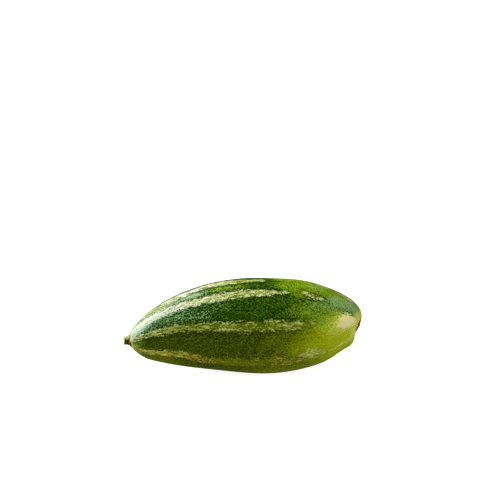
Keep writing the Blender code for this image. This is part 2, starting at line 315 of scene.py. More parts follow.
# The stripes, each with the angle of its rib in degrees. A point of a track is (place, drift in degrees),
# one of a width (place, half width in mm), one of a fade (place, strength), one of a tone (place, paleness).
stripes = {
    "crown": {
        "angle": 93.0,
        "track": ((-1.0, -8.0), (-0.88, -4.0), (-0.72, -4.5), (-0.58, -3.0), (-0.4, 1.5),
                  (-0.3, 1.5), (-0.1, -1.0), (0.1, 0.0), (0.6, 0.0), (0.8, 2.0), (0.97, 0.0)),
        "width": ((-0.95, 0.8), (-0.72, 1.75), (-0.5, 1.9), (-0.3, 1.85), (-0.12, 1.6), (0.1, 0.9),
                  (0.8, 1.2), (0.97, 0.7)),
        "fade": ((0.0, 1.0), (0.13, 0.0), (0.68, 0.0), (0.78, 0.9)),
        # a paleness over 1 turns the stripe white, a painted highlight near the stalk
        "tone": ((-0.92, 0.55), (-0.78, 0.85), (-0.66, 1.3), (-0.5, 1.5), (-0.25, 0.9), (0.0, 0.6),
                 (0.5, 0.5)),
    },
    "shoulder": {
        "angle": 67.5,
        "track": ((-1.0, -5.0), (-0.5, -4.5), (-0.1, -1.5), (0.3, 1.5), (0.43, 5.0), (0.50, 0.5),
                  (0.7, -2.5)),
        "width": ((-0.98, 0.5), (-0.85, 1.4), (-0.5, 1.8), (-0.15, 1.95), (0.05, 1.5), (0.2, 0.75),
                  (0.32, 0.45), (0.42, 0.85), (0.5, 1.0), (0.6, 0.7), (0.7, 0.3)),
        "fade": ((0.28, 1.0), (0.34, 0.3), (0.39, 0.3), (0.43, 1.0), (0.60, 0.9), (0.72, 0.0)),
        # a paleness over 1 turns the stripe white, a painted highlight near the stalk
        "tone": ((-0.7, 1.9), (-0.5, 1.15), (-0.38, 1.05), (-0.2, 0.93), (0.1, 0.85), (0.25, 0.6),
                 (0.45, 0.9), (0.6, 0.6)),
    },
    "front": {
        "angle": 26.5,
        "track": ((-1.0, -1.0), (-0.62, 2.2), (-0.4, -1.0), (-0.1, -2.8), (0.3, -1.5), (0.6, 2.0)),
        "width": ((-1.0, 0.7), (-0.85, 1.0), (-0.58, 1.6), (-0.4, 1.4), (-0.1, 1.9), (0.25, 1.8),
                  (0.45, 1.2), (0.62, 0.8)),
        "fade": ((0.42, 1.0), (0.60, 0.45), (0.75, 0.2)),
        "tone": ((-0.95, 0.9), (-0.85, 0.7), (-0.7, 0.45), (-0.5, 0.25), (-0.2, 0.4), (-0.05, 0.1),
                 (0.3, 0.25), (0.5, 0.25)),
    },
    "low": {
        "angle": -18.5,
        "track": ((-1.0, 6.0), (-0.85, 1.0), (-0.62, 1.5), (-0.4, -7.5), (0.0, -6.0), (0.25, -5.0),
                  (0.5, 1.5), (0.65, 0.0), (0.80, -4.0), (0.97, -4.0)),
        "width": ((-1.0, 0.5), (-0.85, 1.0), (-0.7, 1.4), (-0.6, 1.7), (-0.4, 2.0), (-0.1, 2.5),
                  (0.3, 2.5), (0.55, 2.2), (0.75, 0.9), (0.97, 0.8)),
        "fade": ((0.6, 1.0), (0.72, 0.5), (0.85, 1.0)),
        "tone": ((-0.9, 0.80), (-0.55, 0.50), (-0.40, 0.10), (-0.30, -0.20), (0.08, -0.15),
                 (0.22, 0.40), (0.34, 0.15), (0.50, 0.85), (0.68, 0.85), (0.80, 1.4)),
    },
    "underFront": {
        "angle": -62.0,
        "track": ((-1.0, -4.0), (-0.3, 3.0), (0.4, -2.0), (1.0, 3.0)),
        "width": ((-1.0, 0.5), (-0.4, 1.2), (0.3, 1.3), (0.9, 0.5)),
        "fade": ((-0.3, 0.5), (0.2, 0.6), (0.5, 0.8), (0.8, 0.3)),
        "tone": ((-0.5, 0.2), (0.5, 0.3)),
    },
    "underBack": {
        "angle": -104.0,
        "track": ((-1.0, 3.0), (-0.2, -3.0), (0.5, 3.0), (1.0, -2.0)),
        "width": ((-1.0, 0.5), (-0.3, 1.0), (0.4, 1.2), (0.9, 0.5)),
        "fade": ((-0.2, 0.9), (0.1, 0.5), (0.4, 0.9), (0.9, 0.4)),
        "tone": ((-0.5, 0.3), (0.5, 0.2)),
    },
    "lowBack": {
        "angle": -147.0,
        "track": ((-1.0, -3.0), (-0.4, 2.0), (0.2, -3.0), (0.9, 2.0)),
        "width": ((-1.0, 0.6), (-0.4, 1.5), (-0.1, 1.9), (0.2, 1.3), (0.9, 0.5)),
        "fade": ((-0.1, 1.0), (0.05, 0.5), (0.15, 0.9), (0.45, 0.9), (0.75, 0.2)),
        "tone": ((-0.8, 0.6), (-0.5, 0.2), (-0.1, 0.3), (0.1, -0.3), (0.5, 0.0)),
    },
    "back": {
        "angle": 172.0,
        "track": ((-1.0, 2.0), (-0.5, -2.5), (0.1, 2.5), (0.6, -2.0)),
        "width": ((-1.0, 0.6), (-0.5, 1.7), (-0.2, 1.2), (0.1, 1.8), (0.6, 1.0)),
        "fade": ((0.2, 1.0), (0.33, 0.3), (0.45, 0.9), (0.8, 0.2)),
        "tone": ((-0.8, 0.8), (-0.5, 0.4), (-0.2, 0.1), (0.1, 0.4), (0.5, 0.1)),
    },
    "shoulderBack": {
        "angle": 133.0,
        "track": ((-1.0, -4.0), (-0.4, 2.0), (0.2, -2.0), (0.8, 2.0)),
        "width": ((-1.0, 0.6), (-0.4, 1.7), (-0.1, 1.3), (0.2, 1.6), (0.7, 0.7)),
        "fade": ((0.0, 1.0), (0.1, 0.7), (0.2, 1.0), (0.35, 1.0), (0.7, 0.2)),
        "tone": ((-0.7, 1.2), (-0.4, 0.7), (0.0, 0.3), (0.4, 0.3)),
    },
}


# sqrt((R (1 - |v|^a)^b)^2 + (c max(-v, 0)^p)^2), where a and b belong to the side that v is on
def ringRadius(v):
    stalkSide = v < 0.0
    a = np.where(stalkSide, fruitForm["stalkPowers"][0], fruitForm["blossomPowers"][0])
    b = np.where(stalkSide, fruitForm["stalkPowers"][1], fruitForm["blossomPowers"][1])
    rounded = fruitForm["bellyRadius"] * np.clip(1.0 - np.abs(v) ** a, 0.0, 1.0) ** b
    collar = fruitForm["collarRadius"] * np.clip(-v, 0.0, 1.0) ** fruitForm["collarPower"]
    return np.hypot(rounded, collar)


# The place on the blossom side whose ring has this radius: (1 - (r / R)^(1/b))^(1/a)
def placeOfRadius(radius):
    a, b = fruitForm["blossomPowers"]
    return (1.0 - (radius / fruitForm["bellyRadius"]) ** (1.0 / b)) ** (1.0 / a)


# The belly's centre + reach v, with the stalk end drooping and both ends coming forward as powers of v
def ringCentre(v):
    stalk, blossom = np.clip(-v, 0.0, 1.0), np.clip(v, 0.0, 1.0)
    x = blossom * fruitForm["blossomReach"] - stalk * fruitForm["stalkReach"]
    y = -fruitForm["stalkForward"] * stalk**2 - fruitForm["blossomForward"] * blossom**2
    droop = fruitForm["stalkDroop"] * stalk ** fruitForm["stalkDroopPower"]
    z = fruitForm["blossomRise"] * blossom**2 - droop
    return np.stack([x, y, z], axis=-1) + np.array(fruitForm["bellyCentre"])


# A ring's up, front and along: up and level lean about Y, then level and ahead turn by the ring's own turn
def ringAxes(v):
    stalk, blossom = np.clip(-v, 0.0, 1.0), np.clip(v, 0.0, 1.0)
    twist = blossom ** fruitForm["blossomTwistPower"]
    lean = np.radians(fruitForm["blossomLean"] * twist + fruitForm["stalkLean"] * stalk**2)[..., None]
    turned = np.radians(fruitForm["blossomTurn"] * twist)[..., None]
    east, ahead, north = np.array([1.0, 0.0, 0.0]), np.array([0.0, -1.0, 0.0]), np.array([0.0, 0.0, 1.0])
    up = np.sin(lean) * east + np.cos(lean) * north
    level = np.cos(lean) * east - np.sin(lean) * north
    front = np.cos(turned) * ahead - np.sin(turned) * level
    along = np.cos(turned) * level + np.sin(turned) * ahead
    return up, front, along


# centre + radius (sin(angle) up + cos(angle) front) + shift along, in the plane of the ring
def fruitPoint(v, angle, radius, shift=0.0):
    up, front, along = ringAxes(v)
    outward = np.sin(angle)[..., None] * up + np.cos(angle)[..., None] * front
    return ringCentre(v) + np.asarray(radius)[..., None] * outward + np.asarray(shift)[..., None] * along


# The difference of two angles, brought into -pi..pi
def angleBetween(angle, other):
    return (angle - other + math.pi) % turn - math.pi


# Eases from each point to the next, t^2 (3 - 2t) between neighbours, and stays level beyond the last ones
def track(v, points):
    places, values = np.array(points).T
    i = np.clip(np.searchsorted(places, v) - 1, 0, len(places) - 2)
    t = np.clip((v - places[i]) / (places[i + 1] - places[i]), 0.0, 1.0)
    return values[i] + (values[i + 1] - values[i]) * t * t * (3.0 - 2.0 * t)


# exp(-((v - v0) / a)^2 - ((angle - b0) / b)^2): 1 in the middle of an oval on the skin, falling as a bell
def oval(v, angle, middle, middleAngle, reach, width):
    across = angleBetween(angle, math.radians(middleAngle)) / np.radians(width)
    return np.exp(-(((v - middle) / reach) ** 2) - across**2)


# A patch's strength: a sum of ovals, their width divided by ringRadius / mergeRadius where that is under 1
def patchStrength(v, angle, spots):
    ease = np.clip(ringRadius(v) / patchForm["mergeRadius"], patchForm["mergeLeast"], 1.0)
    strength = sum(k * oval(v, angle, *middle, reach, width / ease) for k, *middle, reach, width in spots)
    return np.clip(strength, 0.0, 1.0)


# Ribs, (belly + stalk |v|^5 + blossom v^4) times a bell over each stripe, with swells,
# h sin(pi a v + b angle + start) fading out as 1 - v^4, and the broad bumps, each an oval
def skinHeight(v, angle):
    f = fruitForm
    stalkRib = f["ribStalk"] * np.clip(-v, 0.0, 1.0) ** f["ribStalkPower"]
    blossomRib = f["ribBlossom"] * np.clip(v, 0.0, 1.0) ** f["ribBlossomPower"]
    rib = f["ribBelly"] + stalkRib + blossomRib
    width = math.radians(f["ribHalfWidth"])
    offsets = [angleBetween(angle, math.radians(stripe["angle"])) for stripe in stripes.values()]
    bells = sum(np.exp(-((offset / width) ** 2)) for offset in offsets)
    swells = sum(h * mm * np.sin(math.pi * a * v + b * angle + start) for h, a, b, start in f["swells"])
    bumps = sum(h * mm * oval(v, angle, *spot) for h, *spot in f["bumps"])
    return rib * bells + swells * (1.0 - v ** f["swellFadePower"]) + bumps


# height exp(-((radius - r0) / reach)^2 - ((angle - b0) / b)^2) on the blossom side
def bulgeShift(v, angle, radius):
    height, middle, reach, middleAngle, width = fruitForm["bulge"]
    across = angleBetween(angle, math.radians(middleAngle)) / math.radians(width)
    return np.where(v > 0.0, height, 0.0) * np.exp(-(((radius - middle) / reach) ** 2) - across**2)


stripeForm = {
    "fadeLoss": 2.2,  # how many mm of its half width a stripe loses where its strength is 0
    "outside": -20.0,  # mm, farther out than any stripe's edge
}


# The stripes at each point: how far inside an edge it lies in mm, which is
# half width - |offset| R - loss (1 - strength), and the paleness there
def stripeFields(v, angle):
    shape = np.broadcast_shapes(v.shape, angle.shape)
    gap, tone = np.full(shape, stripeForm["outside"]), np.zeros(shape)
    for stripe in stripes.values():
        middle = np.radians(stripe["angle"] + track(v, stripe["track"]))
        offset = np.abs(angleBetween(angle, middle)) * ringRadius(v) / mm
        weakness = 1.0 - track(v, stripe["fade"])
        inside = track(v, stripe["width"]) - offset - weakness * stripeForm["fadeLoss"]
        tone = np.where(inside > gap, track(v, stripe["tone"]), tone)
        gap = np.maximum(gap, inside)
    return gap, tone


patchForm = {
    "mergeRadius": 8.0 * mm,  # where a ring is narrower, the spots widen
    "mergeLeast": 0.1,  # which is up to ten times
    "bellFade": (0.0, 0.3),  # a patch fades out while the sum of its spots goes from 0.3 to 0
}

# Broad patches of the skin's colour, and of painted sheen and highlight where the light falls, painted in
# this
# order. Each has its colour, the limits of its fade, how much blotches and specks change its edge, and
# spots:
# strength, place and angle of the middle, then reach in place and in angle, with angles in degrees.
groundPatches = {
    "stalkOlive": {
        "colour": (0.126, 0.138, 0.003),
        "fade": (0.12, 0.80), "edge": (0.6, 0.9),
        "spots": ((1.0, -0.97, -40.0, 0.40, 26.0), (0.7, -0.96, -150.0, 0.20, 50.0)),
    },
    "collarGreen": {
        "colour": (0.140, 0.250, 0.018),
        "fade": (0.10, 0.75, 0.0, 0.95), "edge": (0.6, 1.6),
        "spots": ((1.0, -0.98, 10.0, 0.08, 14.0),),
    },
    "collarLight": {
        "colour": (0.260, 0.280, 0.065),
        "fade": (0.15, 0.90, 0.0, 0.9), "edge": (0.6, 1.4),
        "spots": ((1.0, -1.0, -30.0, 0.08, 20.0), (1.0, -1.0, 38.0, 0.06, 14.0),
                  (0.7, -1.0, 150.0, 0.06, 40.0)),
    },
    # painted sheen: a teal tint where the light's reflection lies on the shoulder near the stalk
    "tealSheen": {
        "colour": (0.078, 0.150, 0.050),
        "fade": (0.15, 0.95, 0.0, 0.9), "edge": (0.7, 2.2),
        "spots": ((1.0, -0.78, 50.0, 0.28, 12.0), (0.9, -0.48, 74.0, 0.11, 7.0),
                  (0.6, -0.75, 120.0, 0.25, 20.0)),
    },
    # painted highlight: a pale misty sheen of the light between the upper stripes near the stalk
    "shoulderSheen": {
        "colour": (0.295, 0.360, 0.245),
        "fade": (0.16, 0.90, 0.0, 0.95), "edge": (0.6, 2.2),
        "spots": ((1.0, -0.78, 76.0, 0.27, 9.0), (0.8, -0.50, 77.0, 0.08, 6.0),
                  (1.0, -0.92, 48.0, 0.10, 13.0), (0.35, -0.88, 110.0, 0.18, 16.0)),
    },
    "ripening": {
        "colour": (0.092, 0.108, 0.001),
        "fade": (0.08, 0.72), "edge": (0.6, 0.8),
        "spots": ((1.0, 0.72, -6.0, 0.68, 38.0), (1.0, 0.48, -44.0, 0.58, 22.0),
                  (0.4, 0.14, 10.0, 0.14, 12.0)),
    },
    "lowRipe": {
        "colour": (0.168, 0.176, 0.002),
        "fade": (0.10, 0.85), "edge": (0.6, 0.8),
        "spots": ((1.0, 0.62, -52.0, 0.50, 26.0), (0.4, 0.10, -42.0, 0.30, 14.0)),
    },
    "lime": {
        "colour": (0.160, 0.225, 0.016),
        "fade": (0.16, 0.85), "edge": (0.6, 1.4),
        "spots": ((1.0, 0.78, 32.0, 0.32, 24.0), (0.5, 0.62, 50.0, 0.24, 16.0),
                  (0.35, 0.34, 44.0, 0.16, 12.0)),
    },
    "brightFlecks": {
        "colour": (0.200, 0.265, 0.020),
        "fade": (0.30, 0.90, 0.0, 0.9), "edge": (0.9, 3.2),
        "spots": ((1.0, -0.27, 79.0, 0.17, 7.0), (0.5, -0.10, 57.0, 0.16, 4.0),
                  (0.5, 0.20, 118.0, 0.2, 10.0)),
    },
    # painted sheen: the grey-teal reflection of the light from the right near the blossom end
    "rightSheen": {
        "colour": (0.190, 0.268, 0.112),
        "fade": (0.22, 0.80), "edge": (0.5, 1.0),
        "spots": ((1.0, 0.84, 72.0, 0.24, 22.0), (0.8, 0.92, 96.0, 0.14, 24.0),
                  (0.35, 0.56, 52.0, 0.16, 14.0)),
    },
    "flush": {
        "colour": (0.192, 0.258, 0.005),
        "fade": (0.22, 0.78), "edge": (0.8, 1.2),
        "spots": ((1.0, 0.48, 94.0, 0.28, 24.0), (0.8, 0.62, 108.0, 0.18, 26.0),
                  (0.5, 0.24, 80.0, 0.10, 8.0), (0.4, 0.38, 68.0, 0.12, 10.0),
                  (0.7, 0.20, 112.0, 0.15, 14.0)),
    },
    "flushLight": {
        "colour": (0.290, 0.350, 0.090),
        "fade": (0.25, 1.10, 0.0, 0.85), "edge": (0.8, 2.0),
        "spots": ((1.0, 0.53, 91.0, 0.10, 10.0), (0.7, 0.63, 100.0, 0.08, 12.0)),
    },
    "golden": {
        "colour": (0.268, 0.285, 0.014),
        "fade": (0.16, 0.95), "edge": (0.5, 1.2),
        "spots": ((1.0, 1.00, 2.0, 0.64, 38.0), (0.4, 0.90, -40.0, 0.36, 22.0),
                  (0.7, 0.85, 160.0, 0.25, 40.0), (0.7, 0.98, -110.0, 0.20, 50.0),
                  (0.6, 0.98, 140.0, 0.16, 40.0), (0.17, 0.38, -8.0, 0.20, 10.0)),
    },
    "halo": {
        "colour": (0.350, 0.360, 0.090),
        "fade": (0.28, 0.95), "edge": (0.5, 2.2),
        "spots": ((1.0, 0.84, 25.0, 0.20, 22.0), (0.7, 0.98, 30.0, 0.05, 60.0)),
    },
}

# Patches over the stripes: a painted highlight on the shoulder of the stalk's side, a painted pale teal
# sheen round it, and the bleached spot near the blossom end
topPatches = {
    # painted sheen: a pale teal tint of the light's reflection round the shoulder's highlight
    "paleTealSheen": {
        "colour": (0.270, 0.370, 0.290),
        "fade": (0.25, 0.95, 0.0, 0.9), "edge": (0.6, 2.4),
        "spots": ((1.0, -0.94, 58.0, 0.11, 19.0), (0.3, -0.95, 135.0, 0.07, 30.0),
                  (0.7, -0.72, 57.0, 0.17, 6.0)),
    },
    # painted highlight: the white reflection of the light on the shoulder, laid into the colour
    "paintedShoulderHighlight": {
        "colour": (0.430, 0.424, 0.360),
        "fade": (0.35, 1.05, 0.0, 0.92), "edge": (0.6, 3.2),
        "spots": ((1.0, -0.92, 61.0, 0.12, 14.0), (0.5, -0.76, 66.0, 0.16, 8.0),
                  (0.2, -0.86, 110.0, 0.14, 20.0)),
    },
    "cream": {
        "colour": (0.415, 0.378, 0.195),
        "fade": (0.34, 0.66), "edge": (0.5, 1.1),
        "spots": ((1.0, 0.876, 32.5, 0.108, 20.0),),
    },
}

skinRelief = {
    "wrinkle": 0.018 * mm,
    "wrinkleWaves": (11, 24, 46, 0.5),  # seed, count, most round, most along
    "easeRate": 4.0,  # wrinkles and dents fade out at the ends as this times 1 - v^2
    "dent": 0.05 * mm,
    "dents": 70,
    "dentSeed": 5,
    "dentReach": (0.8, 2.6),  # mm
    "dentShare": (0.2, 1.0),  # of the depth
    "dentStretch": 2.0,  # how much longer a dent is than wide
    "endFurrow": 0.05 * mm,  # fine furrows that run into the stalk
    "endFurrows": 43,
    "endFurrowPower": 9,
}


# The skin's points are ringCentre + (ringRadius + skinHeight - relief) outwards + bulgeShift along, on rows
# that are evenly spaced along the fruit's outline
def makeFruit():
    f, relief = fruitForm, skinRelief
    seatPlace = placeOfRadius(f["seatRadius"])
    fine = -np.cos(np.linspace(0.0, math.acos(-seatPlace), f["lengthSteps"]))
    steps = np.hypot(np.diff(ringCentre(fine)[:, 0]), np.diff(ringRadius(fine)))
    length = np.concatenate([[0.0], np.cumsum(steps)])
    s = np.linspace(0.0, length[-1], f["rows"])
    v = np.interp(s, length, fine)[:, None]
    s = s[:, None] / mm
    angle = np.linspace(0.0, turn, f["sides"], endpoint=False)[None, :]

    radius = ringRadius(v) + skinHeight(v, angle) - f["skinInset"]
    ease = np.clip((1.0 - v**2) * relief["easeRate"], 0.0, 1.0)
    radius = radius - relief["wrinkle"] * (1.0 + waves(relief["wrinkleWaves"], angle, s)) * ease
    radius = radius - dents(v, angle, s) * ease
    furrow = relief["endFurrow"] * np.clip(-v, 0.0, 1.0) ** relief["endFurrowPower"]
    radius = radius - furrow * (1.0 + np.sin(relief["endFurrows"] * angle + s))
    zeros = np.zeros_like(radius)
    points = fruitPoint(v + zeros, angle + zeros, radius, bulgeShift(v, angle, ringRadius(v)))

    # the neck leads into the socket of the stalk, and the seat dips under the scar
    zeroRow = np.zeros_like(angle)
    first, last = zeroRow - 1.0, zeroRow + seatPlace
    collar = f["collarRadius"] + skinHeight(first, angle) - f["skinInset"]
    before = [fruitPoint(first, angle, share * collar, zeroRow - out * mm)[0] for share, out in f["neck"]]
    beyond = [fruitPoint(last, angle, zeroRow + r * mm, zeroRow + out * mm)[0] for r, out in f["seat"]]
    points = np.concatenate([np.array(before), points, np.array(beyond)])
    points[..., 2] = np.maximum(points[..., 2], 0.0)
    points[..., 0] = np.minimum(points[..., 0], f["farthest"])

    # what the material reads: the stripes, the height and place on the fruit, the patches, and the grain,
    # which is the place of the skin in mm as if it were wound round a straight cylinder
    gap, tone = stripeFields(v, angle)
    attributes = {"stripeGap": gap, "tone": tone, "height": np.sin(angle) + zeros, "place": v + zeros}
    for name, patch in (groundPatches | topPatches).items():
        attributes[name] = patchStrength(v, angle, patch["spots"])
    belly = f["bellyRadius"] / mm
    grain = (s, belly * np.cos(angle), belly * np.sin(angle))
    attributes["grain"] = np.stack([values + zeros for values in grain], axis=-1)
    for name, values in attributes.items():
        start = np.repeat(values[:1], len(before), axis=0)
        end = np.repeat(values[-1:], len(beyond), axis=0)
        attributes[name] = np.concatenate([start, values, end])
    onNeck = np.arange(len(points)) < len(before)
    attributes["neck"] = onNeck[:, None].astype(float)
    return ringMesh("gourdSkin", points, attributes, skinMaterial())


# Shallow oval dents at seeded places: a sum of depth exp(-((along / stretch)^2 + across^2) / reach^2)
def dents(v, angle, s):
    relief = skinRelief
    rng = np.random.default_rng(relief["dentSeed"])
    total = np.zeros(np.broadcast_shapes(v.shape, angle.shape))
    r = ringRadius(v) / mm
    for i in range(relief["dents"]):
        at = rng.uniform(s.min(), s.max())
        angleAt = rng.uniform(0.0, turn)
        reach = rng.uniform(*relief["dentReach"])
        depth = rng.uniform(*relief["dentShare"]) * relief["dent"]
        along = (s - at) / relief["dentStretch"]
        across = angleBetween(angle, angleAt) * r
        total += depth * np.exp(-(along**2 + across**2) / reach**2)
    return total


# The skin's colours

skinLook = {
    "deepGreen": (0.027, 0.060, 0.001),
    "olive": (0.046, 0.064, 0.0006),
    "brownOlive": (0.057, 0.065, 0.0007),
    "underBrown": (0.080, 0.068, 0.002),
    "collar": (0.330, 0.345, 0.150),
    "neck": (0.050, 0.045, 0.006),
    "fleck": (0.088, 0.135, 0.008),
    "coolFleck": (0.062, 0.138, 0.030),
    # the milky flecks are the wax's pale flecks with a painted glint of the light on them
    "milkySheenFleck": (0.190, 0.310, 0.170),
    "ripeFleck": (0.110, 0.180, 0.004),
    "shade": (0.008, 0.022, 0.0008),
    "warmShade": (0.018, 0.019, 0.0004),
    # the white of the upper stripes is a painted highlight where the light falls on the stalk's shoulder
    "stripeHighlightWhite": (0.440, 0.435, 0.350),
    "stripePale": (0.278, 0.302, 0.110),
    "stripeTan": (0.235, 0.240, 0.058),
    "stripeCream": (0.370, 0.400, 0.120),
    "stripeDull": (0.099, 0.118, 0.004),
    "stripeGreen": (0.050, 0.080, 0.002),
    "rust": (0.430, 0.190, 0.085),
    "specular": 0.006,
    "bumpDistance": 0.05 * mm,
    "bumpStrength": 0.8,
    "bumpGrit": 0.6,
    "rustCells": 1.1,  # in a millimetre
    "sheenShare": 0.3,
    # from patches of a centimetre down to specks of a third of a millimetre: waves in a millimetre,
    # the share of them along the fruit, detail and roughness
    "noises": {
        "broad": (0.14, 0.4, 2.0, 0.5),
        "blotch": (0.45, 0.6, 3.0, 0.6),
        "streak": (1.0, 0.35, 3.0, 0.6),
        "speck": (1.9, 0.75, 2.0, 0.6),
        "grit": (3.0, 0.85, 1.0, 0.5),
    },
    # how much each noise changes a value
    "wobble": {
        "lowness": {"broad": 0.5},
        "ripeFlecks": {"blotch": 0.6},
        "flecks": {"grit": 0.8},
        "stripeEdge": {"streak": 3.2, "speck": 2.2, "grit": 1.4},
        "stripeTone": {"speck": 2.2, "streak": 2.6},
        "stripeGreen": {"grit": 1.2},
        "collar": {"speck": 0.008},
        "neck": {"speck": 0.6},
    },
    # the limits of each fade
    "fades": {
        "olive": (0.62, 0.30),
        "brownOlive": (0.15, -0.45),
        "underBrown": (-0.60, -0.80),
        "ripe": (0.15, 0.5, 0.0, 0.6),
        "ripeFlecks": (0.53, 0.60),
        "milkySheenPlace": (-0.15, -0.55),
        "milkySheenHeight": (0.40, 0.70),
        "coolStreaks": (0.42, 0.56),
        "coolHeight": (0.25, 0.55),
        "flecks": (0.51, 0.59),
        "patchy": (0.35, 0.62, 0.25, 1.0),
        "clear": (0.1, 0.6, 1.0, 0.1),
        "shades": (0.49, 0.40, 0.0, 0.85),
        "edgeLine": (-2.2, -0.6, 0.0, 0.45),
        "edgeHeight": (-0.2, 0.3),
        "warmShade": (0.50, 0.10),
        "stripe": (-0.60, 0.80),
        "lowStripe": (0.0, -0.25),
        "paleTone": (-0.1, 0.9),
        "whiteTone": (0.8, 1.6),
        "stripeGreen": (0.48, 0.36, 0.0, 0.8),
        "rustCells": (0.22, 0.34, 1.0, 0.0),
        "rustGap": (-0.8, 0.3),
        "rustHeight": (0.1, -0.25, 0.0, 0.85),
        "rustTone": (-0.4, 0.1),
        "rustPlace": (0.80, -0.30),
        "collar": (-0.988, -0.994, 0.0, 0.9),
        # the neck's brown is limited to its lower side, as painted shade
        "neckShadeHeight": (0.45, -0.15),
        "neck": (0.25, 0.60, 0.0, 0.9),
        "roughness": (0.3, 0.7, 0.34, 0.50),
    },
}


# Each patch covers the colour where its bell, changed by two noises, is high enough, and nothing outside it
def paintPatches(tree, colour, patches, noises):
    for name, patch in patches.items():
        bell = attributeOf(tree, name)
        amount = wobbled(tree, bell, noises, dict(zip(("blotch", "speck"), patch["edge"])))
        cover = product(tree, fade(tree, amount, patch["fade"]), fade(tree, bell, patchForm["bellFade"]))
        colour = blend(tree, cover, colour, patch["colour"])
    return colour


# Each layer of the skin lies over the ones before it
def skinMaterial():
    look, fades, wobble = skinLook, skinLook["fades"], skinLook["wobble"]
    material, tree, shader = newMaterial("stripedSkin", look["specular"])
    grain = attributeOf(tree, "grain", "Vector")
    noises = noisesOf(tree, grain, look["noises"])
    gap = attributeOf(tree, "stripeGap")
    paleness = attributeOf(tree, "tone")
    height = attributeOf(tree, "height")
    place = attributeOf(tree, "place")
    golden = attributeOf(tree, "golden")

    # the ground colour, deep green above, olive in front and brownish below, with its patches
    lowness = wobbled(tree, height, noises, wobble["lowness"])
    ground = blend(tree, fade(tree, lowness, fades["olive"]), look["deepGreen"], look["olive"])
    ground = blend(tree, fade(tree, lowness, fades["brownOlive"]), ground, look["brownOlive"])
    ground = blend(tree, fade(tree, lowness, fades["underBrown"]), ground, look["underBrown"])
    ground = paintPatches(tree, ground, groundPatches, noises)
    ripeFlecks = fade(tree, wobbled(tree, noises["grit"], noises, wobble["ripeFlecks"]), fades["ripeFlecks"])
    ripeFlecks = product(tree, ripeFlecks, fade(tree, golden, fades["ripe"]))
    ground = blend(tree, ripeFlecks, ground, look["ripeFleck"])

    # flecks of light green, cool above and milky on the shoulder of the stalk's side, where the wax's own
    # flecks get a painted glint of the light
    milkySheen = product(tree, fade(tree, place, fades["milkySheenPlace"]), fade(tree, height, fades["milkySheenHeight"]))
    coolStreaks = fade(tree, noises["streak"], fades["coolStreaks"])
    cool = product(tree, coolStreaks, fade(tree, height, fades["coolHeight"]))
    fleck = blend(tree, cool, look["fleck"], look["coolFleck"])
    fleck = blend(tree, milkySheen, fleck, look["milkySheenFleck"])
    speckled = wobbled(tree, noises["speck"], noises, wobble["flecks"])
    # flecks and specks of shade stay out of the painted sheens, the halo and the golden patch
    sheens = calc(tree, "ADD", attributeOf(tree, "rightSheen"), attributeOf(tree, "shoulderSheen"))
    clear = calc(tree, "MAXIMUM", attributeOf(tree, "halo"), product(tree, sheens, look["sheenShare"]))
    unripe = fade(tree, calc(tree, "MAXIMUM", golden, clear), fades["clear"])
    patchy = fade(tree, noises["blotch"], fades["patchy"])
    flecks = product(tree, fade(tree, speckled, fades["flecks"]), patchy, unripe)
    ground = blend(tree, flecks, ground, fleck)

    # specks of shade, and a line of it beside the stripes
    shades = fade(tree, speckled, fades["shades"])
    edgeLine = product(tree, fade(tree, gap, fades["edgeLine"]), fade(tree, height, fades["edgeHeight"]))
    shade = blend(tree, fade(tree, lowness, fades["warmShade"]), look["shade"], look["warmShade"])
    shades = product(tree, calc(tree, "MAXIMUM", shades, edgeLine), unripe)
    ground = blend(tree, shades, ground, shade)

    # the stripes, with ragged edges and a mottled middle
    stripe = fade(tree, wobbled(tree, gap, noises, wobble["stripeEdge"]), fades["stripe"])
    tone = wobbled(tree, paleness, noises, wobble["stripeTone"])
    lowStripe = fade(tree, height, fades["lowStripe"])
    palest = blend(tree, lowStripe, look["stripePale"], look["stripeTan"])
    # the palest upper stripes turn white as a painted highlight, the low ones cream
    whitest = blend(tree, lowStripe, look["stripeHighlightWhite"], look["stripeCream"])
    pale = blend(tree, fade(tree, tone, fades["paleTone"]), look["stripeDull"], palest)
    pale = blend(tree, fade(tree, tone, fades["whiteTone"]), pale, whitest)
    greenStreaks = wobbled(tree, noises["streak"], noises, wobble["stripeGreen"])
    pale = blend(tree, fade(tree, greenStreaks, fades["stripeGreen"]), pale, look["stripeGreen"])
    colour = blend(tree, stripe, ground, pale)

    # rusty specks along the lower stripes
    cellInputs = {"Vector": grain, "Scale": look["rustCells"]}
    cells = addNode(tree, "ShaderNodeTexVoronoi", cellInputs).outputs["Distance"]
    specks = {"rustCells": cells, "rustGap": gap, "rustHeight": height, "rustTone": paleness}
    specks["rustPlace"] = place
    rust = product(tree, *(fade(tree, value, fades[name]) for name, value in specks.items()))
    colour = blend(tree, rust, colour, look["rust"])

    # the patches over the stripes, the collar's pale line and the brown neck, laid only on its lower side,
    # partly its own colour and partly painted shade
    colour = paintPatches(tree, colour, topPatches, noises)
    collar = wobbled(tree, place, noises, wobble["collar"])
    colour = blend(tree, fade(tree, collar, fades["collar"]), colour, look["collar"])
    neck = product(tree, attributeOf(tree, "neck"), fade(tree, height, fades["neckShadeHeight"]))
    neck = wobbled(tree, neck, noises, wobble["neck"])
    colour = blend(tree, fade(tree, neck, fades["neck"]), colour, look["neck"])
    bumps = calc(tree, "ADD", noises["speck"], product(tree, noises["grit"], look["bumpGrit"]))
    dress(tree, shader, look, colour, noises["speck"], bumps)
    return material


# The stub of the stalk

